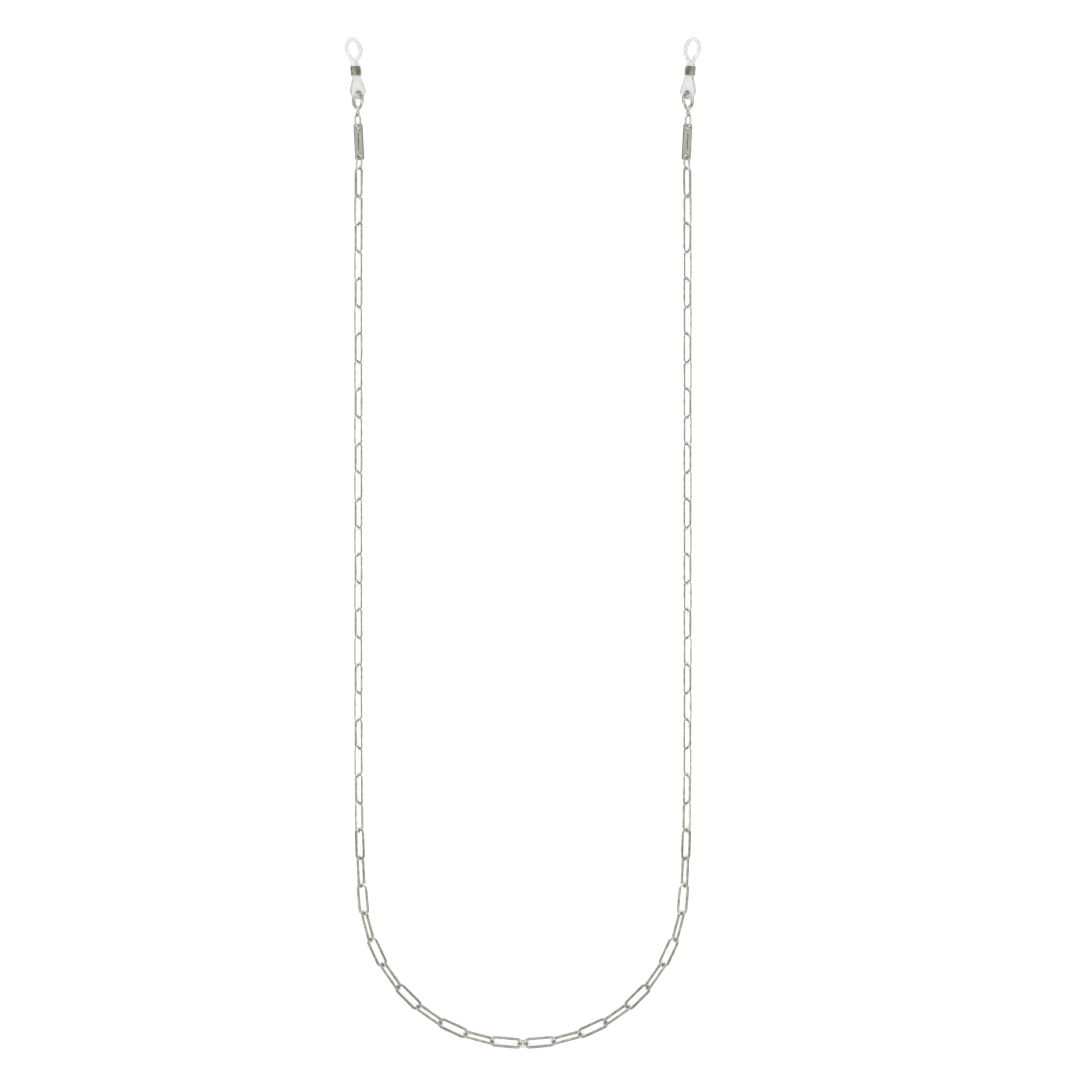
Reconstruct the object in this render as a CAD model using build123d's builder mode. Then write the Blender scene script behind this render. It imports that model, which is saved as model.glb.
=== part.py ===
from build123d import *

import os
from math import cos, radians, sin

os.makedirs("parts", exist_ok=True)

# All sizes are in millimetres. The strap lies flat on a surface at Z = 0 in a long U,
# with the temple grips at +Y and the bend at -Y. It is the same on both sides of X = 0.

# The chain's paperclip links and the ring that joins its two halves
LINK_WIRE = 0.86
LINK_LENGTH = 11.0
LINK_WIDTH = 3.8
LINKS_A_SIDE = 35
PLAY = 0.06  # gap between two wires that pull on each other
JOINING_WIRE = 0.8
JOINING_DIAMETER = 3.8
JOINING_TILT = -62.0

# How the chain lies: a quarter bend of evenly turned links, then a side that is nearly straight
BEND_LINKS = 9
BEND_TURN = 10.0  # degrees from one link of the bend to the next
LEAN_LEFT = 0.55  # share of its lean that each link above the bend passes on
SINGLE_LINKS = 11  # links that stand in a node each; the others stand in pairs
FLAT_TILT, STEEP_TILT = 13.0, -62.0  # odd and even links in the bend, turned about their length
SIDE_TILT = 45.0  # the same on the straight side, odd links one way and even links the other
TILT_BLEND_LINKS = 5

# The two oval jump rings on each side
JUMP_WIRE = 0.65
JUMP_WIDTH = 3.4
LOWER_JUMP_LENGTH = 5.0
UPPER_JUMP_LENGTH = 4.75
JUMP_TILT = -56.0

# The flat tag
TAG_LENGTH, TAG_WIDTH, TAG_THICKNESS = 12.0, 3.0, 0.8
TAG_HOLE = 1.4
TAG_HOLE_INSET = 1.05
TAG_CORNER = 0.4
TAG_EDGE = 0.08
TAG_TILT = 20.0
TAG_SHIFT = 0.12  # from a hole's centre to the wire that pulls in it

# The ring with an eye
RING_WIRE = 1.3
RING_DIAMETER = 6.4
EYE_WIRE = 0.6
EYE_DIAMETER = 2.26
EYE_SPACING = 4.3
EYE_NECK = 0.9
EYE_SHIFT = 0.18
RING_TILT = 52.0

# The silicone grip, measured from the centre of its lug's hole
GRIP_CORD = 1.6
GRIP_LEG = 0.76  # from the grip's centre line to each leg's
LUG_RADIUS = 2.8
LUG_CENTRE = 0.85
LUG_THICKNESS = 2.0
LUG_TOP = 5.75
LUG_EDGE = 0.5
LUG_HOLE = 2.3
LUG_HOLE_EDGE = 0.25
LUG_SHIFT = -0.2
NECK_END = 10.1
LOOP_WIDEST = 14.7
LOOP_TOP = 18.35
LOOP_HALF_WIDTH = 2.7
LOOP_FLARE = 2.0
GRIP_TILT = -34.0

# The ferrule
FERRULE_START = 6.2
FERRULE_LENGTH = 2.9
FERRULE_GAP = 0.05
FERRULE_WALL = 0.28
FERRULE_EDGE = 0.08

# Where the end pieces lie: distance outwards from the line of the chain, and height
LOWER_TAG_HOLE_AT = (-0.3, 1.62)
UPPER_TAG_HOLE_AT = (0.22, 1.9)
EYE_AT = (0.3, 2.2)
LUG_HOLE_AT = (0.15, 3.0)
LOOP_AT = (1.65, 2.32)

UP = Vector(0, 0, 1)


def heading(number):
    """Angle in degrees from +Y of a link, numbered from the joining ring."""
    lean = BEND_TURN * max(BEND_LINKS - number + 0.5, 0.5)
    return lean * LEAN_LEFT ** max(number - BEND_LINKS, 0)


def link_tilt(number):
    """Angle in degrees by which a link is turned about its own length."""
    share = min(max((number - BEND_LINKS + 1) / TILT_BLEND_LINKS, 0), 1)
    if number % 2:
        return FLAT_TILT + share * (SIDE_TILT - FLAT_TILT)
    return STEEP_TILT + share * (-SIDE_TILT - STEEP_TILT)


def lying_plane(start, end, tilt):
    """Plane at the middle of two points, with X along them and Y tilted up from the level."""
    along = (end - start).normalized()
    level = along.cross(UP).normalized()
    raised = level.cross(along).normalized()
    across = level * cos(radians(tilt)) + raised * sin(radians(tilt))
    return Plane(origin=(start + end) * 0.5, x_dir=along, z_dir=along.cross(across))


def joint_height(number):
    """Height of the point where a link hangs in the next: the steeper of the two stands there."""
    steepest = max(abs(link_tilt(number)), abs(link_tilt(number + 1)))
    return (LINK_WIDTH - LINK_WIRE) / 2 * sin(radians(steepest)) + LINK_WIRE / 2


def chain_points():
    """Points on the left where each link hangs in the next, from the joining ring outwards."""
    reach = (JOINING_DIAMETER - JOINING_WIRE) / 2
    first_at = (JOINING_WIRE + LINK_WIRE) / 4 + PLAY / 2 - reach
    points = [Vector(first_at, 0, joint_height(1))]
    pitch = LINK_LENGTH - 2 * LINK_WIRE - PLAY
    for number in range(1, LINKS_A_SIDE + 1):
        turn = radians(heading(number))
        step = Vector(-sin(turn), cos(turn), 0) * pitch
        points.append(points[-1] + step + UP * (joint_height(number) - points[-1].Z))
    return points


def end_points(chain_end):
    """Points on the left where the end pieces meet, from the chain's last point outwards."""
    lower_tag_hole = (
        LOWER_JUMP_LENGTH - JUMP_WIRE - (LINK_WIRE + JUMP_WIRE) / 4 - PLAY / 2 + TAG_SHIFT
    )
    upper_tag_hole = lower_tag_hole + TAG_LENGTH - 2 * TAG_HOLE_INSET
    eye = upper_tag_hole + TAG_SHIFT + UPPER_JUMP_LENGTH - JUMP_WIRE + EYE_SHIFT
    lug_hole = eye + EYE_SPACING + (RING_DIAMETER - RING_WIRE) / 2 + LUG_SHIFT
    stations = [
        (lower_tag_hole, LOWER_TAG_HOLE_AT),
        (upper_tag_hole, UPPER_TAG_HOLE_AT),
        (eye, EYE_AT),
        (lug_hole, LUG_HOLE_AT),
        (lug_hole + LOOP_WIDEST, LOOP_AT),
    ]
    return [Vector(chain_end.X - out, chain_end.Y + far, height) for far, (out, height) in stations]


def oval_link(plane, length, width, wire):
    """Closed link of round wire: two straight sides and two half-round ends."""
    half_run = (length - width) / 2
    radius = (width - wire) / 2
    with BuildPart() as link:
        with BuildLine(plane):
            side = Line((-half_run, -radius), (half_run, -radius))
            far_end = CenterArc((half_run, 0), radius, -90, 180)
            back = Line(far_end @ 1, (-half_run, radius))
            CenterArc((-half_run, 0), radius, 90, 180)
        with BuildSketch(Plane(origin=side @ 0, x_dir=plane.z_dir, z_dir=plane.x_dir)):
            Circle(wire / 2)
        sweep()
    return link.part


def round_ring(plane, diameter, wire):
    """Closed round ring of round wire."""
    with BuildPart() as ring:
        with BuildSketch(Plane(origin=plane.origin, x_dir=plane.x_dir, z_dir=plane.y_dir)):
            with Locations(((diameter - wire) / 2, 0)):
                Circle(wire / 2)
        revolve(axis=Axis(plane.origin, plane.z_dir))
    return ring.part


def flat_tag(plane):
    """Plain flat bar with cut corners and a hole near each end."""
    with BuildPart(plane) as tag:
        Box(TAG_LENGTH, TAG_WIDTH, TAG_THICKNESS)
        chamfer(tag.edges().filter_by(Axis(plane.origin, plane.z_dir)), TAG_CORNER)
        with GridLocations(TAG_LENGTH - 2 * TAG_HOLE_INSET, 0, 2, 1):
            Hole(TAG_HOLE / 2)
        faces = tag.faces().sort_by(Axis(plane.origin, plane.z_dir))
        chamfer(faces[0].edges() + faces[-1].edges(), TAG_EDGE)
    return tag.part


def ring_with_eye(plane):
    """Thick round ring with a small eye cast on its rim; the plane's origin is the eye's centre."""
    ring_plane = plane.shift_origin(plane.origin + plane.x_dir * EYE_SPACING)
    band = round_ring(ring_plane, RING_DIAMETER, RING_WIRE)
    eye = round_ring(plane, EYE_DIAMETER, EYE_WIRE)
    eye_reach = (EYE_DIAMETER - EYE_WIRE) / 2
    band_reach = (RING_DIAMETER - RING_WIRE) / 2
    neck_start = plane.origin + plane.x_dir * eye_reach
    with BuildPart() as ring:
        add(band)
        add(eye)
        with BuildSketch(Plane(origin=neck_start, x_dir=plane.y_dir, z_dir=plane.x_dir)):
            Circle(EYE_NECK / 2)
        extrude(amount=EYE_SPACING - band_reach - eye_reach)
    return ring.part


def temple_grip(plane):
    """Silicone grip; the plane's origin is the centre of the lug's hole and X runs to the loop."""
    with BuildPart() as grip:
        with BuildSketch(plane.offset(-LUG_THICKNESS / 2)):
            with BuildLine():
                CenterArc((LUG_CENTRE, 0), LUG_RADIUS, 0, 360)
                for side in (-GRIP_LEG, GRIP_LEG):
                    CenterArc((LUG_TOP - GRIP_CORD / 2, side), GRIP_CORD / 2, 0, 360)
            make_hull()
            Circle(LUG_HOLE / 2, mode=Mode.SUBTRACT)
        extrude(amount=LUG_THICKNESS)
        faces = grip.faces().sort_by(Axis(plane.origin, plane.z_dir))
        hole_rims = [face.inner_wires()[0].edge() for face in (faces[0], faces[-1])]
        fillet(hole_rims, LUG_HOLE_EDGE)
        faces = grip.faces().sort_by(Axis(plane.origin, plane.z_dir))
        fillet(faces[0].outer_wire().edges() + faces[-1].outer_wire().edges(), LUG_EDGE)
        with BuildLine(plane):
            leg = Line((LUG_TOP - GRIP_CORD, GRIP_LEG), (NECK_END, GRIP_LEG))
            Bezier(
                (NECK_END, GRIP_LEG),
                (NECK_END + LOOP_FLARE, GRIP_LEG),
                (LOOP_WIDEST - LOOP_FLARE, LOOP_HALF_WIDTH),
                (LOOP_WIDEST, LOOP_HALF_WIDTH),
            )
            EllipticalCenterArc(
                (LOOP_WIDEST, 0), LOOP_TOP - LOOP_WIDEST, LOOP_HALF_WIDTH, arc_size=90
            )
        with BuildSketch(Plane(origin=leg @ 0, x_dir=plane.z_dir, z_dir=plane.x_dir)):
            Circle(GRIP_CORD / 2)
        half_loop = sweep()
        mirror(half_loop, about=Plane(origin=plane.origin, x_dir=plane.x_dir, z_dir=plane.y_dir))
    return grip.part


def ferrule(plane):
    """Short oval tube round the grip's two legs, placed by the grip's plane."""
    start = plane.shift_origin(plane.origin + plane.x_dir * FERRULE_START)
    with BuildPart() as tube:
        with BuildSketch(Plane(origin=start.origin, x_dir=plane.y_dir, z_dir=plane.x_dir)):
            inner = GRIP_CORD + 2 * FERRULE_GAP
            SlotCenterToCenter(2 * GRIP_LEG, inner + 2 * FERRULE_WALL)
            SlotCenterToCenter(2 * GRIP_LEG, inner, mode=Mode.SUBTRACT)
        extrude(amount=FERRULE_LENGTH)
        ends = tube.faces().sort_by(Axis(plane.origin, plane.x_dir))
        chamfer(ends[0].edges() + ends[-1].edges(), FERRULE_EDGE)
    return tube.part


def left_pieces():
    """All left-hand pieces by name, before the strap is centred."""
    points = chain_points()
    pieces = {}
    links = []
    for number in range(1, LINKS_A_SIDE + 1):
        plane = lying_plane(points[number - 1], points[number], link_tilt(number))
        links.append(oval_link(plane, LINK_LENGTH, LINK_WIDTH, LINK_WIRE))
    for number in range(1, SINGLE_LINKS + 1):
        pieces[f"bend_link_{number:02d}"] = links[number - 1]
    for pair, first in enumerate(range(SINGLE_LINKS, LINKS_A_SIDE, 2), start=1):
        pieces[f"side_link_pair_{pair:02d}"] = Compound(children=links[first : first + 2])

    lower_hole, upper_hole, eye, lug_hole, loop = end_points(points[-1])
    jump = lying_plane(points[-1], lower_hole, JUMP_TILT)
    half = (LOWER_JUMP_LENGTH - JUMP_WIRE) / 2
    wire_low = points[-1] - jump.x_dir * ((LINK_WIRE + JUMP_WIRE) / 4 + PLAY / 2)
    jump = jump.shift_origin(wire_low + jump.x_dir * half)
    pieces["lower_jump_ring"] = oval_link(jump, LOWER_JUMP_LENGTH, JUMP_WIDTH, JUMP_WIRE)
    pieces["tag"] = flat_tag(lying_plane(lower_hole, upper_hole, TAG_TILT))
    jump = lying_plane(upper_hole, eye, JUMP_TILT)
    half = (UPPER_JUMP_LENGTH - JUMP_WIRE) / 2
    jump = jump.shift_origin(upper_hole + jump.x_dir * (TAG_SHIFT + half))
    pieces["upper_jump_ring"] = oval_link(jump, UPPER_JUMP_LENGTH, JUMP_WIDTH, JUMP_WIRE)
    ring = lying_plane(eye, lug_hole, RING_TILT)
    pieces["ring_with_eye"] = ring_with_eye(ring.shift_origin(eye))
    grip = lying_plane(lug_hole, loop, GRIP_TILT)
    grip = grip.shift_origin(lug_hole)
    pieces["temple_grip"] = temple_grip(grip)
    pieces["ferrule"] = ferrule(grip)
    return pieces


def write_piece(name, shape, mirrored=False):
    """Write one piece, or its mirror image on the right-hand side."""
    with BuildPart() as piece:
        add(shape)
        if mirrored:
            mirror(about=Plane.YZ, mode=Mode.REPLACE)
    piece.part.label = name
    export_step(piece.part, f"parts/{name}.step")


left = left_pieces()
joining_plane = Plane(
    origin=(0, 0, joint_height(1)),
    x_dir=(1, 0, 0),
    z_dir=(0, -sin(radians(JOINING_TILT)), cos(radians(JOINING_TILT))),
)
joining_ring = round_ring(joining_plane, JOINING_DIAMETER, JOINING_WIRE)

# The origin is the middle of the strap's length and width, on the surface that it lies on.
extent = Compound(children=[*left.values(), joining_ring]).bounding_box()
centred = Location((0, -(extent.min.Y + extent.max.Y) / 2, -extent.min.Z))
write_piece("joining_ring", joining_ring.moved(centred))
for name, shape in left.items():
    write_piece(f"left_{name}", shape.moved(centred))
    write_piece(f"right_{name}", shape.moved(centred), mirrored=True)
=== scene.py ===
"""Eyeglasses chain strap: a paperclip-link chain with a tag, ring and silicone grip at each end.

Sizes are in millimetres and meshes are in metres. Each piece is modelled about its own middle
and then laid where its CAD node lies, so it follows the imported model.
"""

import logging
import math
from collections.abc import Iterable
from dataclasses import dataclass, field
from enum import Enum
from typing import Any

import bmesh
import bpy
import numpy as np
from mathutils import Matrix, Vector


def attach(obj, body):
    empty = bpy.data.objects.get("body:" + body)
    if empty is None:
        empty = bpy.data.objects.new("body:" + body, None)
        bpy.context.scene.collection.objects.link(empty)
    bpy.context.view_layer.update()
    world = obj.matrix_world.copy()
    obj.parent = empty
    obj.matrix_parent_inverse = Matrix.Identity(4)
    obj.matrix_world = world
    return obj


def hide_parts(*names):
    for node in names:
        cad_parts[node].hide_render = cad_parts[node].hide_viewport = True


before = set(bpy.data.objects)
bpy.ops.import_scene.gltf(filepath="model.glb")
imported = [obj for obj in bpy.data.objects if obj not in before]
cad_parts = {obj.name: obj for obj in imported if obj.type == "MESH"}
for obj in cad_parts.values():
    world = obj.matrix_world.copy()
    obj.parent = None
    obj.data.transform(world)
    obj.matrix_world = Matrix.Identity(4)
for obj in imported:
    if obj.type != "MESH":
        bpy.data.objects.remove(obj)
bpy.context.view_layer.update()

MM = 0.001
LOG = logging.getLogger("strap")


class Side(Enum):
    """The two halves of the strap, with the direction that each one runs outwards."""

    LEFT = ("left", Vector((-1, 1, 0)))
    RIGHT = ("right", Vector((1, 1, 0)))

    @property
    def prefix(self) -> str:
        """Start of the names of this side's nodes."""
        return self.value[0]

    @property
    def outwards(self) -> Vector:
        """Direction from the joining ring to this side's grip."""
        return self.value[1]


class Seam(Enum):
    """How the two ends of a bent wire meet."""

    SOLDERED = "soldered"
    OPEN = "open"


# ---------------------------------------------------------------- finishes


def linear(hex_colour: str) -> tuple[float, float, float, float]:
    """Turn an sRGB hex colour to linear values.

    Args:
        hex_colour: Six hex digits, such as "C8C7C0".

    Returns:
        Linear red, green, blue and an alpha of 1.
    """
    channels = [int(hex_colour[i : i + 2], 16) / 255 for i in (0, 2, 4)]
    curved = [c / 12.92 if c <= 0.04045 else ((c + 0.055) / 1.055) ** 2.4 for c in channels]
    return (*curved, 1.0)


def add_node(
    material: bpy.types.Material,
    kind: str,
    values: dict[str, Any] | None = None,
    links: dict[str, bpy.types.NodeSocket] | None = None,
    **settings: Any,
) -> bpy.types.Node:
    """Add one shader node.

    Args:
        material: The material that gets the node.
        kind: The node's type, without "ShaderNode".
        values: Input values by socket name.
        links: Output sockets to join, by input socket name.
        settings: The node's own properties.

    Returns:
        The new node.
    """
    tree = material.node_tree
    node = tree.nodes.new("ShaderNode" + kind)
    for name, value in settings.items():
        setattr(node, name, value)
    for name, value in (values or {}).items():
        node.inputs[name].default_value = value
    for name, socket in (links or {}).items():
        tree.links.new(socket, node.inputs[name])
    return node


def per_metre(size_mm: float) -> float:
    """Texture scale whose features are about this many millimetres across."""
    return 1 / (size_mm * MM)


@dataclass(frozen=True)
class PlatedWire:
    """Drawn wire, bent, soldered, tumbled and plated with bright nickel.

    Tumbling leaves a soft gloss with faint clouds in it. Where two wires rub, the
    plating is burnished, so it is paler and sharper there.
    """

    name: str
    colour: str = "B3B2AA"
    dull_colour: str = "8D8C83"
    burnished_colour: str = "DCDBD6"
    rim_colour: str = "9C9B93"
    roughness: float = 0.24
    dull_roughness: float = 0.38
    cloud_mm: float = 1.6
    tumble_mm: float = 0.16
    tumble_height_mm: float = 0.006

    def build(self) -> bpy.types.Material:
        """Make the material.

        Returns:
            The finished material.
        """
        material = new_material(self.name)
        place = add_node(material, "TexCoord").outputs["Object"]
        cloud = add_node(
            material,
            "TexNoise",
            {"Scale": per_metre(self.cloud_mm), "Detail": 4.0, "Roughness": 0.6},
            {"Vector": place},
        ).outputs["Fac"]
        spread = add_node(
            material, "MapRange", {"From Min": 0.35, "From Max": 0.62}, {"Value": cloud}
        ).outputs["Result"]
        tint = mixed_colour(material, spread, linear(self.dull_colour), linear(self.colour))
        rub = add_node(material, "Attribute", attribute_name="rub").outputs["Fac"]
        colour = mixed_colour(material, rub, tint, linear(self.burnished_colour))
        gloss = add_node(
            material,
            "MapRange",
            {"To Min": self.dull_roughness, "To Max": self.roughness},
            {"Value": cloud},
        ).outputs["Result"]
        burnish = add_node(
            material,
            "MapRange",
            {"To Min": 0.0, "To Max": 0.12},
            {"Value": rub},
        ).outputs["Result"]
        roughness = add_node(
            material, "Math", {}, {"Value": gloss}, operation="SUBTRACT"
        )
        material.node_tree.links.new(burnish, roughness.inputs[1])
        tumble = add_node(
            material,
            "TexNoise",
            {"Scale": per_metre(self.tumble_mm), "Detail": 2.0},
            {"Vector": place},
        ).outputs["Fac"]
        bump = add_node(
            material,
            "Bump",
            {"Strength": 0.5, "Distance": self.tumble_height_mm * MM},
            {"Height": tumble},
        ).outputs["Normal"]
        finish_metal(material, colour, roughness.outputs["Value"], bump, linear(self.rim_colour))
        return material


@dataclass(frozen=True)
class BrushedTag:
    """Stamped steel bar, brushed along its length and left satin.

    The brushing draws the highlight out across the bar. Its sides, rims and groove are painted
    darker: painted shade where the surface turns away and in the recess.
    which the brush misses, are darker.
    """

    name: str
    colour: str = "B4B3AA"
    scratch_colour: str = "8E8D84"
    # painted shade: the sides, rims and groove of the bar are drawn in this darker colour
    painted_shade_colour: str = "6E6D66"
    rim_colour: str = "A5A49C"
    roughness: float = 0.34
    scratch_width_mm: float = 0.09  # real brushing is about 0.02 mm, drawn coarser so that it shows
    scratch_length_mm: float = 2.5

    def build(self) -> bpy.types.Material:
        """Make the material.

        Returns:
            The finished material.
        """
        material = new_material(self.name)
        place = add_node(material, "TexCoord").outputs["Object"]
        across, along = per_metre(self.scratch_width_mm), per_metre(self.scratch_length_mm)
        drawn = add_node(
            material, "Mapping", {"Scale": (across, along, across)}, {"Vector": place}
        ).outputs["Vector"]
        scratches = add_node(
            material, "TexNoise", {"Scale": 1.0, "Detail": 3.0}, {"Vector": drawn}
        ).outputs["Fac"]
        spread = add_node(
            material, "MapRange", {"From Min": 0.3, "From Max": 0.6}, {"Value": scratches}
        ).outputs["Result"]
        tint = mixed_colour(material, spread, linear(self.scratch_colour), linear(self.colour))
        # The sides, rims and groove are darkened here: painted shade.
        edge = add_node(material, "Attribute", attribute_name="edge").outputs["Fac"]
        colour = mixed_colour(material, edge, tint, linear(self.painted_shade_colour))
        roughness = add_node(
            material,
            "MapRange",
            {"To Min": self.roughness + 0.1, "To Max": self.roughness - 0.06},
            {"Value": scratches},
        ).outputs["Result"]
        bump = add_node(
            material,
            "Bump",
            {"Strength": 0.35, "Distance": 0.01 * MM},
            {"Height": scratches},
        ).outputs["Normal"]
        finish_metal(material, colour, roughness, bump, linear(self.rim_colour))
        return material


@dataclass(frozen=True)
class MilkySilicone:
    """Clear silicone rubber, moulded in a satin tool.

    Light goes into it and scatters, so it is whitish and soft, greyer at its edges,
    with faint cloudiness and a soft satin shine.
    """

    name: str
    colour: str = "FDFDFC"
    cloudy_colour: str = "F3F3F2"
    roughness: float = 0.22
    cloud_mm: float = 2.2
    skin_mm: float = 0.25

    def build(self) -> bpy.types.Material:
        """Make the material.

        Returns:
            The finished material.
        """
        material = new_material(self.name)
        place = add_node(material, "TexCoord").outputs["Object"]
        cloud = add_node(
            material,
            "TexNoise",
            {"Scale": per_metre(self.cloud_mm), "Detail": 3.0},
            {"Vector": place},
        ).outputs["Fac"]
        tint = mixed_colour(material, cloud, linear(self.colour), linear(self.cloudy_colour))
        skin = add_node(
            material,
            "TexNoise",
            {"Scale": per_metre(self.skin_mm), "Detail": 2.0},
            {"Vector": place},
        ).outputs["Fac"]
        bump = add_node(
            material,
            "Bump",
            {"Strength": 0.3, "Distance": 0.01 * MM},
            {"Height": skin},
        ).outputs["Normal"]
        roughness = add_node(
            material,
            "MapRange",
            {"To Min": self.roughness - 0.05, "To Max": self.roughness + 0.1},
            {"Value": cloud},
        ).outputs["Result"]
        shader = principled(material)
        shader.inputs["IOR"].default_value = 1.41
        shader.inputs["Transmission Weight"].default_value = 0.6
        shader.inputs["Subsurface Weight"].default_value = 1.0
        shader.inputs["Subsurface Radius"].default_value = (1.0, 1.0, 1.0)
        shader.inputs["Subsurface Scale"].default_value = 1.0 * MM
        link = material.node_tree.links.new
        link(tint, shader.inputs["Base Color"])
        link(roughness, shader.inputs["Roughness"])
        link(bump, shader.inputs["Normal"])
        return material


@dataclass(frozen=True)
class SeamlessPaper:
    """White background paper: matt, so nothing shines, and lit from below to stay clean."""

    name: str = "seamless_paper"
    colour: str = "FBFBFA"
    shade_colour: str = "F7F7F6"
    glow: float = 0.4
    cloud_mm: float = 120.0

    def build(self) -> bpy.types.Material:
        """Make the material.

        Returns:
            The finished material.
        """
        material = new_material(self.name)
        place = add_node(material, "TexCoord").outputs["Object"]
        cloud = add_node(
            material, "TexNoise", {"Scale": per_metre(self.cloud_mm)}, {"Vector": place}
        ).outputs["Fac"]
        tint = mixed_colour(material, cloud, linear(self.colour), linear(self.shade_colour))
        shader = principled(material)
        shader.inputs["Roughness"].default_value = 0.9
        shader.inputs["Emission Color"].default_value = linear(self.colour)
        shader.inputs["Emission Strength"].default_value = self.glow
        material.node_tree.links.new(tint, shader.inputs["Base Color"])
        return material


def new_material(name: str) -> bpy.types.Material:
    """Make an empty material that has only its output and its shader."""
    material = bpy.data.materials.new(name)
    material.use_nodes = True
    return material


def principled(material: bpy.types.Material) -> bpy.types.Node:
    """The material's own shader node."""
    return material.node_tree.nodes["Principled BSDF"]


def mixed_colour(
    material: bpy.types.Material,
    share: bpy.types.NodeSocket,
    base: bpy.types.NodeSocket | tuple[float, float, float, float],
    other: tuple[float, float, float, float],
) -> bpy.types.NodeSocket:
    """Mix a second colour into a first one.

    Args:
        material: The material that gets the node.
        share: How much of the second colour shows, from 0 to 1.
        base: The first colour, linear, or the socket that gives it.
        other: The second colour, linear.

    Returns:
        The mixed colour.
    """
    values, links = {"B": other}, {"Factor": share}
    if isinstance(base, tuple):
        values["A"] = base
    else:
        links["A"] = base
    return add_node(material, "Mix", values, links, data_type="RGBA").outputs["Result"]


def finish_metal(
    material: bpy.types.Material,
    colour: bpy.types.NodeSocket,
    roughness: bpy.types.NodeSocket,
    normal: bpy.types.NodeSocket,
    rim: tuple[float, float, float, float],
) -> None:
    """Join a metal's patterns to its shader.

    Args:
        material: The material.
        colour: Its colour.
        roughness: Its roughness.
        normal: Its bumps.
        rim: Its tint where the surface turns away, linear.
    """
    shader = principled(material)
    shader.inputs["Metallic"].default_value = 1.0
    shader.inputs["Specular Tint"].default_value = rim
    link = material.node_tree.links.new
    link(colour, shader.inputs["Base Color"])
    link(roughness, shader.inputs["Roughness"])
    link(normal, shader.inputs["Normal"])


# ---------------------------------------------------------------- where pieces lie


@dataclass(frozen=True)
class Place:
    """Where a piece lies: its middle and its length, width and height directions, in metres."""

    middle: Vector
    along: Vector
    across: Vector
    up: Vector

    def matrix(self) -> Matrix:
        """Turn a piece modelled in millimetres about its middle to its place in metres."""
        turned = Matrix((self.along, self.across, self.up)).transposed().to_4x4()
        return Matrix.Translation(self.middle) @ turned @ Matrix.Scale(MM, 4)

    def moved(self, distance_mm: float) -> "Place":
        """The same place, further along its own length."""
        return Place(
            self.middle + self.along * distance_mm * MM, self.along, self.across, self.up
        )


def solids(node: str) -> list[np.ndarray]:
    """Split a CAD node into its separate solids.

    Args:
        node: The node's name.

    Returns:
        One array of triangles (count, 3, 3) for each solid, from the joining ring outwards.
    """
    shell = bmesh.new()
    shell.from_mesh(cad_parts[node].data)
    bmesh.ops.remove_doubles(shell, verts=shell.verts, dist=1e-7)
    bmesh.ops.triangulate(shell, faces=shell.faces)
    found, seen = [], set()
    for first in shell.faces:
        if first in seen:
            continue
        seen.add(first)
        island, waiting = [], [first]
        while waiting:
            face = waiting.pop()
            island.append([tuple(v.co) for v in face.verts])
            for near in (f for v in face.verts for f in v.link_faces):
                if near not in seen:
                    seen.add(near)
                    waiting.append(near)
        found.append(np.array(island))
    shell.free()
    return sorted(found, key=lambda part: part[..., 1].mean())


def place_of(triangles: np.ndarray, outwards: Vector) -> Place:
    """Find how a symmetric piece lies, from the second moments of its surface.

    Args:
        triangles: The piece's surface.
        outwards: Rough direction from the joining ring to the grip.

    Returns:
        Its place, with the length running outwards and the height upwards.
    """
    a, b, c = triangles[:, 0], triangles[:, 1], triangles[:, 2]
    area = np.linalg.norm(np.cross(b - a, c - a), axis=1) / 2
    centre = (area[:, None] * (a + b + c) / 3).sum(0) / area.sum()
    a, b, c = a - centre, b - centre, c - centre
    total = a + b + c
    weight = (area / 12)[:, None, None]
    spread = sum((weight * p[:, :, None] * p[:, None, :]).sum(0) for p in (a, b, c, total))
    axes = np.linalg.eigh(spread)[1]
    along, up = Vector(axes[:, 2]), Vector(axes[:, 0])
    if along.dot(outwards) < 0:
        along.negate()
    if up.z < 0:
        up.negate()
    across = up.cross(along).normalized()
    corners = triangles.reshape(-1, 3)
    middle = Vector()
    for axis in (along, across, up):
        reach = corners @ np.array(axis)
        middle += axis * float(reach.min() + reach.max()) / 2
    return Place(middle, along, across, up)


def length_of(triangles: np.ndarray, place: Place) -> float:
    """Length of a piece along its own direction, in millimetres."""
    reach = triangles.reshape(-1, 3) @ np.array(place.along)
    return float(reach.max() - reach.min()) / MM


# ---------------------------------------------------------------- modelling helpers


def finished(
    shape: bmesh.types.BMesh,
    name: str,
    place: Place,
    material: bpy.types.Material,
    sharp_angle: float = 35.0,
) -> bpy.types.Object:
    """Lay a modelled piece in its place and make it an object.

    Args:
        shape: The piece in millimetres about its own middle. It is freed.
        name: The object's name.
        place: Where it lies.
        material: Its finish.
        sharp_angle: Edges that turn more than this many degrees stay crisp.

    Returns:
        The object, at the origin, with its place in its mesh.
    """
    bmesh.ops.transform(shape, matrix=place.matrix(), verts=shape.verts)
    bmesh.ops.recalc_face_normals(shape, faces=shape.faces)
    mesh = bpy.data.meshes.new(name)
    shape.to_mesh(mesh)
    shape.free()
    mesh.shade_smooth()
    mesh.set_sharp_from_angle(angle=math.radians(sharp_angle))
    mesh.materials.append(material)
    piece = bpy.data.objects.new(name, mesh)
    bpy.context.scene.collection.objects.link(piece)
    return piece


def once(parts: Iterable[Any]) -> list[Any]:
    """Each part of a mesh once, in the order first met."""
    return list(dict.fromkeys(parts))


def declared(piece: bpy.types.Object, node: str) -> bpy.types.Object:
    """Make a piece stand for a CAD node: it moves with its body, and the node is hidden.

    Args:
        piece: The new piece.
        node: The CAD node, whose body has the same name.

    Returns:
        The piece.
    """
    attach(piece, node)
    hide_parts(node)
    return piece


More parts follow.
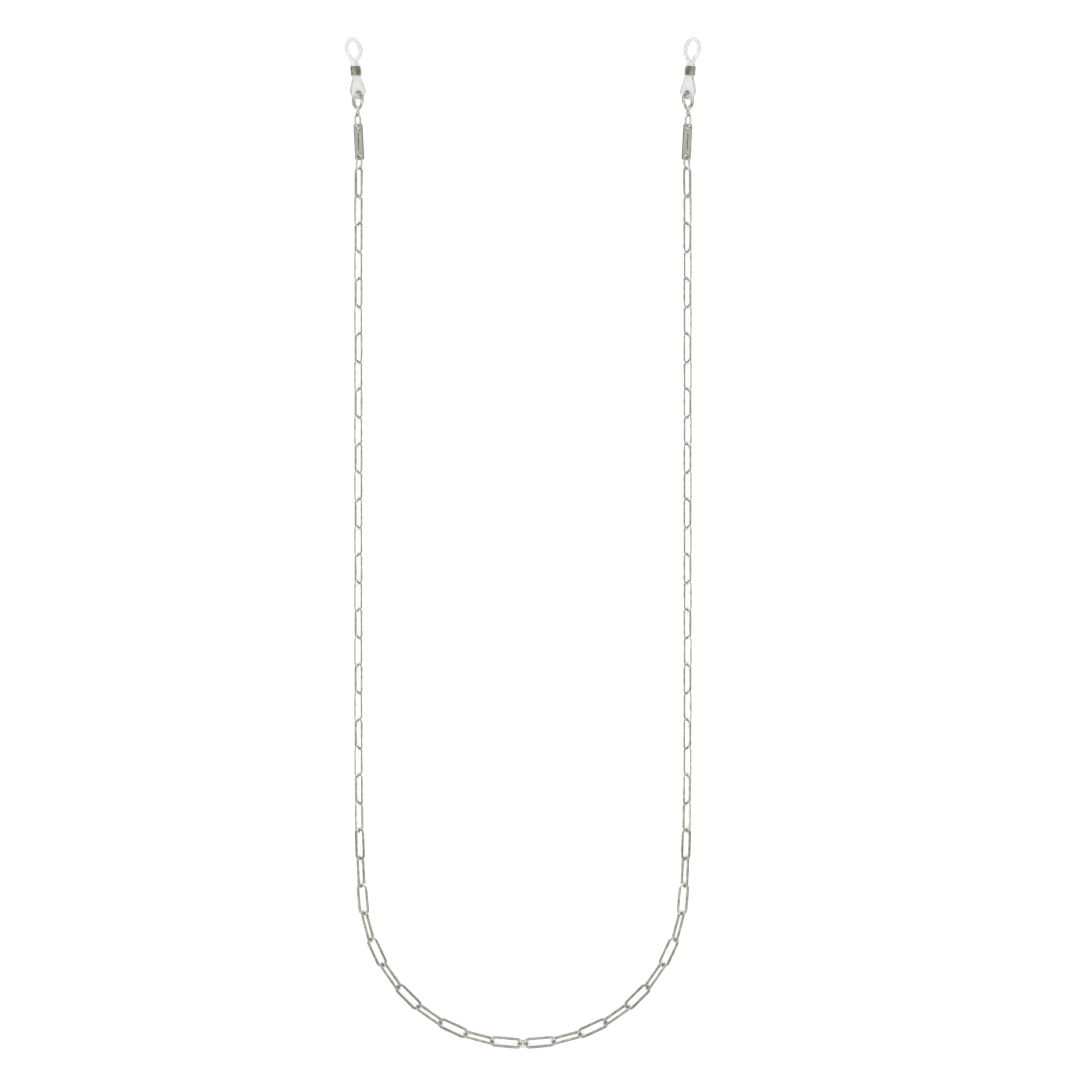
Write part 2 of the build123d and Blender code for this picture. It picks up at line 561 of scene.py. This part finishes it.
def applied(
    shape: bmesh.types.BMesh, modifiers: Iterable[tuple[str, dict[str, Any]]]
) -> bmesh.types.BMesh:
    """Run modifiers on a shape and keep the result.

    Args:
        shape: The shape in millimetres. It is freed.
        modifiers: Each modifier's type and settings.

    Returns:
        The changed shape.
    """
    mesh = bpy.data.meshes.new("working")
    shape.to_mesh(mesh)
    shape.free()
    working = bpy.data.objects.new("working", mesh)
    bpy.context.scene.collection.objects.link(working)
    for kind, settings in modifiers:
        modifier = working.modifiers.new(kind.lower(), kind)
        for key, value in settings.items():
            setattr(modifier, key, value)
    graph = bpy.context.evaluated_depsgraph_get()
    result = bmesh.new()
    result.from_mesh(working.evaluated_get(graph).to_mesh())
    bpy.data.objects.remove(working)
    bpy.data.meshes.remove(mesh)
    return result


def smoothed(
    shape: bmesh.types.BMesh, verts: Iterable[bmesh.types.BMVert], rounds: int
) -> None:
    """Soften part of a shape.

    Args:
        shape: The shape.
        verts: The vertices that may move.
        rounds: How often each one is drawn towards its neighbours.
    """
    chosen = list(verts)
    for _ in range(rounds):
        bmesh.ops.smooth_vert(
            shape, verts=chosen, factor=0.5, use_axis_x=True, use_axis_y=True, use_axis_z=True
        )


def extruded(
    shape: bmesh.types.BMesh, edges: list[bmesh.types.BMEdge], step: Vector, swell: float = 1.0
) -> list[bmesh.types.BMEdge]:
    """Draw a ring of edges on by one step.

    Args:
        shape: The shape that the ring belongs to.
        edges: The ring.
        step: How far it is drawn.
        swell: Size of the new ring against the old one.

    Returns:
        The new ring.
    """
    drawn = bmesh.ops.extrude_edge_only(shape, edges=edges)["geom"]
    verts = [v for v in drawn if isinstance(v, bmesh.types.BMVert)]
    bmesh.ops.translate(shape, verts=verts, vec=step)
    centre = sum((v.co for v in verts), Vector()) / len(verts)
    bmesh.ops.scale(
        shape, verts=verts, vec=(swell,) * 3, space=Matrix.Translation(-centre)
    )
    return [
        e for e in drawn if isinstance(e, bmesh.types.BMEdge) and all(v in verts for v in e.verts)
    ]


@dataclass(frozen=True)
class OvalWire:
    """Round wire bent to a long oval, which both the links and the jump rings are."""

    length: float
    width: float
    wire: float
    seam: Seam
    flat: float = 0.0  # how much each flat side is rolled down
    sides: int = 20
    arc_steps: int = 14
    bead: float = 1.03
    groove: float = 0.9
    gap: float = 0.05

    def model(self) -> bmesh.types.BMesh:
        """Bend the wire, starting and ending at its seam in the middle of one long side.

        Returns:
            The oval, lying in the XY plane with its length along X.
        """
        radius = (self.width - self.wire) / 2
        half_run = max((self.length - self.width) / 2, 0.0)
        start_gap = self.gap / 2 if self.seam is Seam.OPEN else 0.0
        shape = bmesh.new()
        turn = Matrix.Translation((start_gap, -radius, 0)) @ Matrix.Rotation(
            math.radians(90), 4, "Y"
        )
        bmesh.ops.create_circle(
            shape, cap_ends=False, radius=self.wire / 2, segments=self.sides, matrix=turn
        )
        ring = list(shape.edges)
        ring = self._leave_seam(shape, ring, half_run - start_gap)
        ring = self._bend(shape, ring, half_run)
        if half_run > 0:
            ring = extruded(shape, ring, Vector((-2 * half_run, 0, 0)))
        ring = self._bend(shape, ring, -half_run)
        self._meet_seam(shape, ring, half_run - start_gap)
        if self.seam is Seam.SOLDERED:
            bmesh.ops.remove_doubles(shape, verts=shape.verts, dist=self.wire * 0.02)
        else:
            loose = [e for e in shape.edges if e.is_boundary]
            bmesh.ops.holes_fill(shape, edges=loose, sides=0)
        self._roll_flats(shape)
        self._mark_rubbed_ends(shape, half_run, radius)
        return shape

    def _roll_flats(self, shape: bmesh.types.BMesh) -> None:
        """Roll the two broad sides of the finished oval slightly flat."""
        limit = self.wire / 2 - self.flat
        for vert in shape.verts:
            vert.co.z = max(-limit, min(limit, vert.co.z))

    def _profile(self) -> list[tuple[float, float]]:
        """Distance from the seam and size of the wire there, outwards from the seam."""
        if self.seam is Seam.OPEN:
            return [(0.03, 1.0), (0.1, 1.0)]
        return [(0.05, 0.97), (0.11, self.bead), (0.2, self.bead), (0.34, 1.0)]

    def _leave_seam(
        self, shape: bmesh.types.BMesh, ring: list[bmesh.types.BMEdge], run: float
    ) -> list[bmesh.types.BMEdge]:
        """Draw the wire from the seam to the first bend."""
        at, size = 0.0, 1.0
        if self.seam is Seam.SOLDERED:
            size = self.groove
            verts = once(v for e in ring for v in e.verts)
            centre = sum((v.co for v in verts), Vector()) / len(verts)
            bmesh.ops.scale(shape, verts=verts, vec=(size,) * 3, space=Matrix.Translation(-centre))
        for distance, wanted in self._profile():
            if distance < run:
                ring = extruded(shape, ring, Vector((distance - at, 0, 0)), wanted / size)
                at, size = distance, wanted
        return extruded(shape, ring, Vector((run - at, 0, 0)), 1.0 / size)

    def _meet_seam(
        self, shape: bmesh.types.BMesh, ring: list[bmesh.types.BMEdge], run: float
    ) -> None:
        """Draw the wire from the last bend back to the seam."""
        left, size = run, 1.0
        for distance, wanted in reversed(self._profile()):
            if distance < run:
                ring = extruded(shape, ring, Vector((left - distance, 0, 0)), wanted / size)
                left, size = distance, wanted
        end = self.groove if self.seam is Seam.SOLDERED else 1.0
        extruded(shape, ring, Vector((left, 0, 0)), end / size)

    def _bend(
        self, shape: bmesh.types.BMesh, ring: list[bmesh.types.BMEdge], centre: float
    ) -> list[bmesh.types.BMEdge]:
        """Bend the wire through half a turn."""
        verts = once(v for e in ring for v in e.verts)
        spun = bmesh.ops.spin(
            shape,
            geom=verts + ring,
            cent=(centre, 0, 0),
            axis=(0, 0, 1),
            dvec=(0, 0, 0),
            angle=math.pi,
            steps=self.arc_steps,
            use_duplicate=False,
        )["geom_last"]
        return [e for e in spun if isinstance(e, bmesh.types.BMEdge)]

    def _mark_rubbed_ends(
        self, shape: bmesh.types.BMesh, half_run: float, radius: float
    ) -> None:
        """Mark the inside of both bends, where the next wire rubs."""
        layer = shape.verts.layers.float.new("rub")
        for vert in shape.verts:
            beyond = max(abs(vert.co.x) - half_run, 0.0) / radius
            vert[layer] = min(beyond, 1.0) ** 2


# ---------------------------------------------------------------- sub-assemblies


@dataclass
class Chain:
    """The paperclip links of one side, each a closed and soldered oval of wire."""

    side: Side
    finish: bpy.types.Material
    length: float = 11.0
    width: float = 3.8
    wire: float = 0.86
    flat: float = 0.07
    single_links: int = 11
    pairs: int = 12
    links: list[bpy.types.Object] = field(default_factory=list)

    def build(self) -> list[bpy.types.Object]:
        """Make all the links.

        Returns:
            The links from the joining ring outwards.
        """
        for number in range(1, self.single_links + 1):
            self._make(f"bend_link_{number:02d}")
        for number in range(1, self.pairs + 1):
            self._make(f"side_link_pair_{number:02d}")
        return self.links

    def _make(self, base: str) -> None:
        """Make the links that stand in one CAD node."""
        node = f"{self.side.prefix}_{base}"
        for triangles in solids(node):
            number = len(self.links) + 1
            oval = OvalWire(self.length, self.width, self.wire, Seam.SOLDERED, self.flat)
            place = place_of(triangles, self.side.outwards)
            link = finished(
                oval.model(), f"{self.side.prefix}_link_{number:02d}", place, self.finish
            )
            self.links.append(declared(link, node))


@dataclass
class JoiningRing:
    """The small split ring that joins the two halves of the chain."""

    finish: bpy.types.Material
    diameter: float = 3.8
    wire: float = 0.8

    def build(self) -> bpy.types.Object:
        """Make the ring.

        Returns:
            The ring.
        """
        node = "joining_ring"
        place = place_of(solids(node)[0], Vector((0, 1, 0)))
        along = place.up.cross(Vector((1, 0, 0))).normalized()
        place = Place(place.middle, along, place.up.cross(along), place.up)
        oval = OvalWire(self.diameter, self.diameter, self.wire, Seam.OPEN)
        ring = finished(oval.model(), "joining_wire_ring", place, self.finish)
        return declared(ring, node)


@dataclass
class JumpRings:
    """The two oval split rings that hold a tag."""

    side: Side
    finish: bpy.types.Material
    width: float = 3.4
    wire: float = 0.65
    lengths: dict[str, float] = field(
        default_factory=lambda: {"lower_jump_ring": 5.0, "upper_jump_ring": 4.75}
    )

    def build(self) -> list[bpy.types.Object]:
        """Make both rings.

        Returns:
            The lower ring and the upper ring.
        """
        rings = []
        for base, length in self.lengths.items():
            node = f"{self.side.prefix}_{base}"
            oval = OvalWire(length, self.width, self.wire, Seam.OPEN)
            place = place_of(solids(node)[0], self.side.outwards)
            ring = finished(oval.model(), f"{node}_wire", place, self.finish)
            rings.append(declared(ring, node))
        return rings


@dataclass
class Tag:
    """The flat tag: a stamped bar with cut corners, two holes and one plain groove."""

    side: Side
    finish: bpy.types.Material
    length: float = 12.0
    width: float = 3.0
    thickness: float = 0.8
    corner: float = 0.4
    hole: float = 1.4
    hole_inset: float = 1.05
    edge: float = 0.08
    groove_length: float = 5.4
    groove_width: float = 0.34
    groove_depth: float = 0.07

    def build(self) -> bpy.types.Object:
        """Stamp, round and groove the bar.

        Returns:
            The tag.
        """
        node = f"{self.side.prefix}_tag"
        shape = self._blank()
        self._round_edges(shape)
        self._cut_groove(shape)
        place = place_of(solids(node)[0], self.side.outwards)
        tag = finished(shape, f"{node}_bar", place, self.finish, 30.0)
        return declared(tag, node)

    def _blank(self) -> bmesh.types.BMesh:
        """Stamp the outline with its two holes and give it its thickness."""
        shape = bmesh.new()
        long, wide = self.length / 2, self.width / 2
        corners = [
            (long - self.corner, -wide), (long, self.corner - wide),
            (long, wide - self.corner), (long - self.corner, wide),
            (self.corner - long, wide), (-long, wide - self.corner),
            (-long, self.corner - wide), (self.corner - long, -wide),
        ]
        verts = [shape.verts.new((x, y, -self.thickness / 2)) for x, y in corners]
        for first, second in zip(verts, verts[1:] + verts[:1]):
            shape.edges.new((first, second))
        for x in (self.hole_inset - long, long - self.hole_inset):
            bmesh.ops.create_circle(
                shape,
                cap_ends=False,
                radius=self.hole / 2,
                segments=32,
                matrix=Matrix.Translation((x, 0, -self.thickness / 2)),
            )
        bmesh.ops.triangle_fill(shape, edges=shape.edges, use_beauty=True)
        raised = bmesh.ops.extrude_face_region(shape, geom=shape.faces)["geom"]
        top = [v for v in raised if isinstance(v, bmesh.types.BMVert)]
        bmesh.ops.translate(shape, verts=top, vec=(0, 0, self.thickness))
        bmesh.ops.recalc_face_normals(shape, faces=shape.faces)
        return shape

    def _round_edges(self, shape: bmesh.types.BMesh) -> None:
        """Break the rims of the bar and its holes, and mark the sides and rims for painted shade.
        """
        rims = [
            e
            for e in shape.edges
            if e.is_manifold
            and e.calc_face_angle() > math.radians(80)
            and abs(e.verts[0].co.z - e.verts[1].co.z) < 1e-6
        ]
        flats = {f for f in shape.faces if abs(f.normal.z) > 0.99}
        bmesh.ops.bevel(
            shape,
            geom=rims,
            affect="EDGES",
            offset=self.edge,
            segments=3,
            profile=0.5,
            material=-1,
        )
        # The sides and rims are marked for painted shade.
        layer = shape.verts.layers.float.new("edge")
        for face in shape.faces:
            if face not in flats and abs(face.normal.z) < 0.95:
                for vert in face.verts:
                    vert[layer] = 1.0

    def _cut_groove(self, shape: bmesh.types.BMesh) -> None:
        """Sink one plain straight groove into the middle of the upper face."""
        long, wide = self.groove_length / 2, self.groove_width / 2
        for point, normal in (
            ((long, 0, 0), (1, 0, 0)), ((-long, 0, 0), (1, 0, 0)),
            ((0, wide, 0), (0, 1, 0)), ((0, -wide, 0), (0, 1, 0)),
        ):
            bmesh.ops.bisect_plane(
                shape,
                geom=shape.verts[:] + shape.edges[:] + shape.faces[:],
                plane_co=point,
                plane_no=normal,
            )
        floor = [
            f
            for f in shape.faces
            if f.normal.z > 0.99
            and abs(f.calc_center_median().x) < long
            and abs(f.calc_center_median().y) < wide
        ]
        sunk = bmesh.ops.extrude_face_region(shape, geom=floor)["geom"]
        bmesh.ops.delete(shape, geom=floor, context="FACES")
        verts = [v for v in sunk if isinstance(v, bmesh.types.BMVert)]
        bmesh.ops.translate(shape, verts=verts, vec=(0, 0, -self.groove_depth))
        # The groove is marked for painted shade too, so the recess is painted dark.
        layer = shape.verts.layers.float["edge"]
        for vert in verts:
            vert[layer] = 1.0


@dataclass
class RingWithEye:
    """The thick cast ring with its small eye, run together at the neck."""

    side: Side
    finish: bpy.types.Material
    diameter: float = 6.4
    wire: float = 1.3
    eye_diameter: float = 2.26
    eye_wire: float = 0.6
    spacing: float = 4.3
    neck: float = 0.9
    grain: float = 0.085

    def build(self) -> bpy.types.Object:
        """Cast the ring, its eye and the neck between them.

        Returns:
            The ring.
        """
        node = f"{self.side.prefix}_ring_with_eye"
        shape = bmesh.new()
        whole = self.diameter / 2 + self.spacing + self.eye_diameter / 2
        eye_at = self.eye_diameter / 2 - whole / 2
        self._torus(shape, eye_at, self.eye_diameter, self.eye_wire)
        self._torus(shape, eye_at + self.spacing, self.diameter, self.wire)
        self._neck(shape, eye_at)
        shape = applied(shape, [("REMESH", {"mode": "VOXEL", "voxel_size": self.grain})])
        neck_at = eye_at + self.eye_diameter / 2
        near = [v for v in shape.verts if abs(v.co.x - neck_at) < self.neck]
        smoothed(shape, near, 10)
        smoothed(shape, shape.verts, 3)
        shape.verts.layers.float.new("rub")
        place = place_of(solids(node)[0], self.side.outwards)
        ring = finished(shape, f"{node}_casting", place, self.finish, 180.0)
        return declared(ring, node)

    def _torus(self, shape: bmesh.types.BMesh, x: float, diameter: float, wire: float) -> None:
        """Spin one round ring about a point on the casting's length."""
        radius = (diameter - wire) / 2
        turn = Matrix.Translation((x + radius, 0, 0)) @ Matrix.Rotation(math.radians(90), 4, "X")
        made = bmesh.ops.create_circle(
            shape, cap_ends=False, radius=wire / 2, segments=24, matrix=turn
        )["verts"]
        edges = once(e for v in made for e in v.link_edges)
        bmesh.ops.spin(
            shape,
            geom=made + edges,
            cent=(x, 0, 0),
            axis=(0, 0, 1),
            dvec=(0, 0, 0),
            angle=math.tau,
            steps=64,
            use_merge=True,
            use_duplicate=False,
        )

    def _neck(self, shape: bmesh.types.BMesh, eye_at: float) -> None:
        """Fill in between the eye and the ring."""
        start = eye_at + (self.eye_diameter - self.eye_wire) / 2
        end = eye_at + self.spacing - (self.diameter - self.wire) / 2
        turn = Matrix.Translation(((start + end) / 2, 0, 0)) @ Matrix.Rotation(
            math.radians(90), 4, "Y"
        )
        bmesh.ops.create_cone(
            shape,
            cap_ends=True,
            segments=24,
            radius1=self.neck / 2,
            radius2=self.neck / 2,
            depth=end - start,
            matrix=turn,
        )


@dataclass
class TempleGrip:
    """The moulded silicone grip and the metal ferrule that slides on its legs."""

    side: Side
    silicone: bpy.types.Material
    metal: bpy.types.Material
    cord: float = 1.6
    leg: float = 0.76
    lug_radius: float = 2.8
    lug_centre: float = 0.85
    lug_thickness: float = 2.0
    lug_top: float = 5.75
    lug_edge: float = 0.55
    hole_radius: float = 1.15
    hole_straight: float = 0.6
    hole_mouth: tuple[tuple[float, float], ...] = ((0.85, 1.2), (1.0, 1.4), (1.2, 1.7))
    leg_steps: tuple[float, ...] = (7.0, 8.5)
    neck_end: float = 10.1
    loop_widest: float = 14.7
    loop_top: float = 18.35
    loop_half_width: float = 2.7
    loop_flare: float = 2.0
    flare_steps: int = 10
    crown_steps: int = 16
    crown_angle: float = 96.0  # past the top, so that the two halves overlap
    grain: float = 0.11
    ferrule_length: float = 2.9
    ferrule_gap: float = 0.05
    ferrule_wall: float = 0.28
    ferrule_edge: float = 0.09

    def build(self) -> list[bpy.types.Object]:
        """Make the grip and its ferrule.

        Returns:
            The grip and the ferrule.
        """
        node = f"{self.side.prefix}_temple_grip"
        triangles = solids(node)[0]
        place = place_of(triangles, self.side.outwards)
        hole_at = self.lug_radius - self.lug_centre - length_of(triangles, place) / 2
        lug_hole = place.moved(hole_at)
        grip = finished(self._moulding(), f"{node}_moulding", lug_hole, self.silicone, 180.0)
        return [declared(grip, node), self._ferrule(place)]

    def _ferrule(self, grip: Place) -> bpy.types.Object:
        """Draw the oval tube, with rounded lips."""
        node = f"{self.side.prefix}_ferrule"
        own = place_of(solids(node)[0], self.side.outwards)
        place = Place(own.middle, grip.along, grip.across, grip.up)
        shape = bmesh.new()
        loops = []
        bore = self.cord / 2 + self.ferrule_gap
        turn = Matrix.Rotation(math.radians(90), 4, "Y")
        for radius in (bore + self.ferrule_wall, bore):
            verts = bmesh.ops.create_circle(
                shape, cap_ends=False, radius=radius, segments=48, matrix=turn
            )["verts"]
            for vert in verts:
                vert.co.y += math.copysign(self.leg, vert.co.y)
            loops += once(e for v in verts for e in v.link_edges)
        bmesh.ops.bridge_loops(shape, edges=loops)
        bmesh.ops.translate(shape, verts=shape.verts, vec=(-self.ferrule_length / 2, 0, 0))
        drawn = bmesh.ops.extrude_face_region(shape, geom=shape.faces)["geom"]
        far = [v for v in drawn if isinstance(v, bmesh.types.BMVert)]
        bmesh.ops.translate(shape, verts=far, vec=(self.ferrule_length, 0, 0))
        bmesh.ops.recalc_face_normals(shape, faces=shape.faces)
        lips = [e for e in shape.edges if e.calc_face_angle(0.0) > math.radians(80)]
        bmesh.ops.bevel(
            shape,
            geom=lips,
            affect="EDGES",
            offset=self.ferrule_edge,
            segments=3,
            profile=0.5,
            material=-1,
        )
        shape.verts.layers.float.new("rub")
        tube = finished(shape, f"{node}_tube", place, self.metal)
        return declared(tube, node)

    def _moulding(self) -> bmesh.types.BMesh:
        """Mould the lug, the two legs and the loop as one skin, about the lug's hole."""
        shape = self._lug()
        for mirrored in (1, -1):
            self._half_loop(shape, mirrored)
        shape = applied(shape, [("REMESH", {"mode": "VOXEL", "voxel_size": self.grain})])
        smoothed(shape, shape.verts, 6)
        return shape

    def _lug(self) -> bmesh.types.BMesh:
        """Wrap a rounded skin round the lug and the start of the legs, and pierce it."""
        shape = bmesh.new()
        half = self.lug_thickness / 2
        rounds = [(self.lug_centre, 0.0, self.lug_radius)]
        for y in (-self.leg, self.leg):
            rounds.append((self.lug_top - self.cord / 2, y, self.cord / 2))
        for step in range(-4, 5):
            slope = math.radians(90) * abs(step) / 4
            height = math.copysign(half - self.lug_edge * (1 - math.sin(slope)), step)
            inset = self.lug_edge * (1 - math.cos(slope))
            if step == 0:
                height = 0.0
            for x, y, radius in rounds:
                bmesh.ops.create_circle(
                    shape,
                    cap_ends=False,
                    radius=radius - inset,
                    segments=40,
                    matrix=Matrix.Translation((x, y, height)),
                )
        wrapped = bmesh.ops.convex_hull(shape, input=shape.verts)
        loose = [v for v in wrapped["geom_interior"] if isinstance(v, bmesh.types.BMVert)]
        bmesh.ops.delete(shape, geom=loose, context="VERTS")
        return self._pierced(shape)

    def _pierced(self, shape: bmesh.types.BMesh) -> bmesh.types.BMesh:
        """Pierce the lug with a hole whose mouths are rounded."""
        pin = bmesh.new()
        upper = [(self.hole_straight, self.hole_radius), *self.hole_mouth]
        levels = [(-height, radius) for height, radius in reversed(upper)] + upper
        first = bmesh.ops.create_circle(
            pin,
            cap_ends=False,
            radius=levels[0][1],
            segments=40,
            matrix=Matrix.Translation((0, 0, levels[0][0])),
        )["verts"]
        ring = once(e for v in first for e in v.link_edges)
        for (low, small), (high, large) in zip(levels, levels[1:]):
            ring = extruded(pin, ring, Vector((0, 0, high - low)), large / small)
        bmesh.ops.holes_fill(pin, edges=[e for e in pin.edges if e.is_boundary], sides=0)
        bmesh.ops.recalc_face_normals(pin, faces=pin.faces)
        mesh = bpy.data.meshes.new("pin")
        pin.to_mesh(mesh)
        pin.free()
        cutter = bpy.data.objects.new("pin", mesh)
        bpy.context.scene.collection.objects.link(cutter)
        pierced = applied(
            shape, [("BOOLEAN", {"operation": "DIFFERENCE", "object": cutter, "solver": "EXACT"})]
        )
        bpy.data.objects.remove(cutter)
        bpy.data.meshes.remove(mesh)
        return pierced

    def _half_loop(self, shape: bmesh.types.BMesh, mirrored: int) -> None:
        """Draw a round cord along one leg and half of the loop."""
        course = self._course(mirrored)
        start = course[0]
        turn = Matrix.Translation(start) @ Matrix.Rotation(math.radians(90), 4, "Y")
        verts = bmesh.ops.create_circle(
            shape, cap_ends=True, radius=self.cord / 2, segments=20, matrix=turn
        )["verts"]
        ring = once(e for v in verts for e in v.link_edges)
        heading = Vector((1, 0, 0))
        for here, there, after in zip(course, course[1:], course[2:] + [None]):
            wanted = ((after or there + (there - here)) - here).normalized()
            drawn = bmesh.ops.extrude_edge_only(shape, edges=ring)["geom"]
            new = [v for v in drawn if isinstance(v, bmesh.types.BMVert)]
            ring = [
                e
                for e in drawn
                if isinstance(e, bmesh.types.BMEdge) and all(v in new for v in e.verts)
            ]
            bend = heading.rotation_difference(wanted).to_matrix().to_4x4()
            bmesh.ops.transform(
                shape, matrix=bend, verts=new, space=Matrix.Translation(-here)
            )
            bmesh.ops.translate(shape, verts=new, vec=there - here)
            heading = wanted
        bmesh.ops.holes_fill(shape, edges=[e for e in shape.edges if e.is_boundary], sides=0)

    def _course(self, mirrored: int) -> list[Vector]:
        """Middle line of one leg and half of the loop, ending just past the loop's top."""
        points = [Vector((self.lug_top - self.cord, self.leg * mirrored, 0))]
        points += [Vector((x, self.leg * mirrored, 0)) for x in (*self.leg_steps, self.neck_end)]
        pulls = [
            Vector((self.neck_end, self.leg * mirrored, 0)),
            Vector((self.neck_end + self.loop_flare, self.leg * mirrored, 0)),
            Vector((self.loop_widest - self.loop_flare, self.loop_half_width * mirrored, 0)),
            Vector((self.loop_widest, self.loop_half_width * mirrored, 0)),
        ]
        for step in range(1, self.flare_steps + 1):
            t = step / self.flare_steps
            shares = ((1 - t) ** 3, 3 * t * (1 - t) ** 2, 3 * t * t * (1 - t), t**3)
            points.append(sum((p * s for p, s in zip(pulls, shares)), Vector()))
        reach = self.loop_top - self.loop_widest
        for step in range(1, self.crown_steps + 1):
            angle = math.radians(self.crown_angle) * step / self.crown_steps
            points.append(
                Vector(
                    (
                        self.loop_widest + reach * math.sin(angle),
                        self.loop_half_width * mirrored * math.cos(angle),
                        0,
                    )
                )
            )
        return points


# ---------------------------------------------------------------- studio


@dataclass(frozen=True)
class Studio:
    """White paper on a table, lit by soft boxes beside and over it, seen from above."""

    field: float = 361.9  # width of the view at the table
    lens: float = 100.0
    sensor: float = 36.0
    aim: tuple[float, float] = (5.7, 1.0)
    paper: float = 4000.0
    box_length: float = 1100.0
    box_width: float = 260.0
    box_out: float = 520.0
    box_height: float = 620.0
    box_power: float = 1.2
    fill_height: float = 1700.0
    fill_size: tuple[float, float] = (600.0, 3600.0)
    fill_power: float = 8.8
    room_strength: float = 0.68
    strand_out: float = 55.0
    panel_at: float = 8.0
    panel_height: float = 15.0
    panel_size: tuple[float, float] = (225.0, 34.0)
    panel_power: float = 0.08  # these two light the links whose flats face inwards

    def set_camera(self) -> bpy.types.Object:
        """Hang the camera over the strap.

        Returns:
            The camera.
        """
        data = bpy.data.cameras.new("camera")
        data.lens, data.sensor_width = self.lens, self.sensor
        height = self.field * self.lens / self.sensor
        data.clip_start, data.clip_end = 0.05, 20.0
        camera = bpy.data.objects.new("camera", data)
        camera.location = (self.aim[0] * MM, self.aim[1] * MM, height * MM)
        bpy.context.scene.collection.objects.link(camera)
        bpy.context.scene.camera = camera
        return camera

    def lay_paper(self) -> bpy.types.Object:
        """Lay the white paper.

        Returns:
            The paper.
        """
        sheet = bmesh.new()
        bmesh.ops.create_grid(sheet, x_segments=8, y_segments=8, size=self.paper / 2 * MM)
        mesh = bpy.data.meshes.new("paper")
        sheet.to_mesh(mesh)
        sheet.free()
        mesh.materials.append(SeamlessPaper().build())
        paper = bpy.data.objects.new("paper", mesh)
        bpy.context.scene.collection.objects.link(paper)
        return paper

    def set_lights(self) -> None:
        """Hang a soft box on each side, a wide fill overhead and two low panels in the middle."""
        ahead = Vector((0, 0, 0))
        for name, way in (("left", -1), ("right", 1)):
            box = Vector((self.box_out * way, 0, self.box_height))
            self._soft_box(
                f"{name}_box", box, ahead, (self.box_length, self.box_width), self.box_power
            )
            panel = Vector((0, self.panel_at, self.panel_height))
            strand = Vector((self.strand_out * way, self.panel_at, 0))
            self._soft_box(f"{name}_panel", panel, strand, self.panel_size, self.panel_power)
        above = Vector((0, 0, self.fill_height))
        self._soft_box("overhead", above, ahead, self.fill_size, self.fill_power)
        world = bpy.data.worlds.new("room")
        bpy.context.scene.world = world
        world.use_nodes = True
        back = world.node_tree.nodes["Background"]
        back.inputs["Color"].default_value = linear("D9DADB")
        back.inputs["Strength"].default_value = self.room_strength

    def _soft_box(
        self, name: str, at: Vector, aim: Vector, size: tuple[float, float], power: float
    ) -> None:
        """Hang one soft box.

        Args:
            name: The light's name.
            at: Its middle, in millimetres.
            aim: The point that it faces, in millimetres.
            size: Its two sides, in millimetres.
            power: Its power in watts.
        """
        data = bpy.data.lights.new(name, "AREA")
        data.shape, data.size, data.size_y = "RECTANGLE", size[0] * MM, size[1] * MM
        data.energy = power
        light = bpy.data.objects.new(name, data)
        light.location = at * MM
        light.rotation_mode = "QUATERNION"
        light.rotation_quaternion = (aim - at).to_track_quat("-Z", "Y")
        light.visible_camera = False
        bpy.context.scene.collection.objects.link(light)


def main() -> None:
    """Set the camera, make the strap from the joining ring outwards, and light it."""
    logging.basicConfig(level=logging.INFO, format="%(name)s: %(message)s")
    studio = Studio()
    studio.set_camera()
    bpy.context.scene.view_settings.view_transform = "Standard"

    chain_finish = PlatedWire("tumbled_nickel_wire").build()
    ring_finish = PlatedWire(
        "bright_nickel_wire", "CFCEC9", "B2B1AB", "E2E1DD", "B5B4AE", 0.16, 0.26
    ).build()
    ferrule_finish = PlatedWire(
        "warm_nickel_tube", "B0AE9F", "8C8A7B", "CFCDC0", "9A988A", 0.2, 0.3
    ).build()
    tag_finish = BrushedTag("brushed_steel_tag").build()
    silicone = MilkySilicone("milky_silicone").build()

    ring = JoiningRing(ring_finish).build()
    LOG.info("%s: %d faces", ring.name, len(ring.data.polygons))
    for side in Side:
        made = Chain(side, chain_finish).build()
        made += JumpRings(side, ring_finish).build()
        made.append(Tag(side, tag_finish).build())
        made.append(RingWithEye(side, ring_finish).build())
        made += TempleGrip(side, silicone, ferrule_finish).build()
        for piece in made:
            LOG.info("%s: %d faces", piece.name, len(piece.data.polygons))

    studio.lay_paper()
    studio.set_lights()


if __name__ == "__main__":
    main()
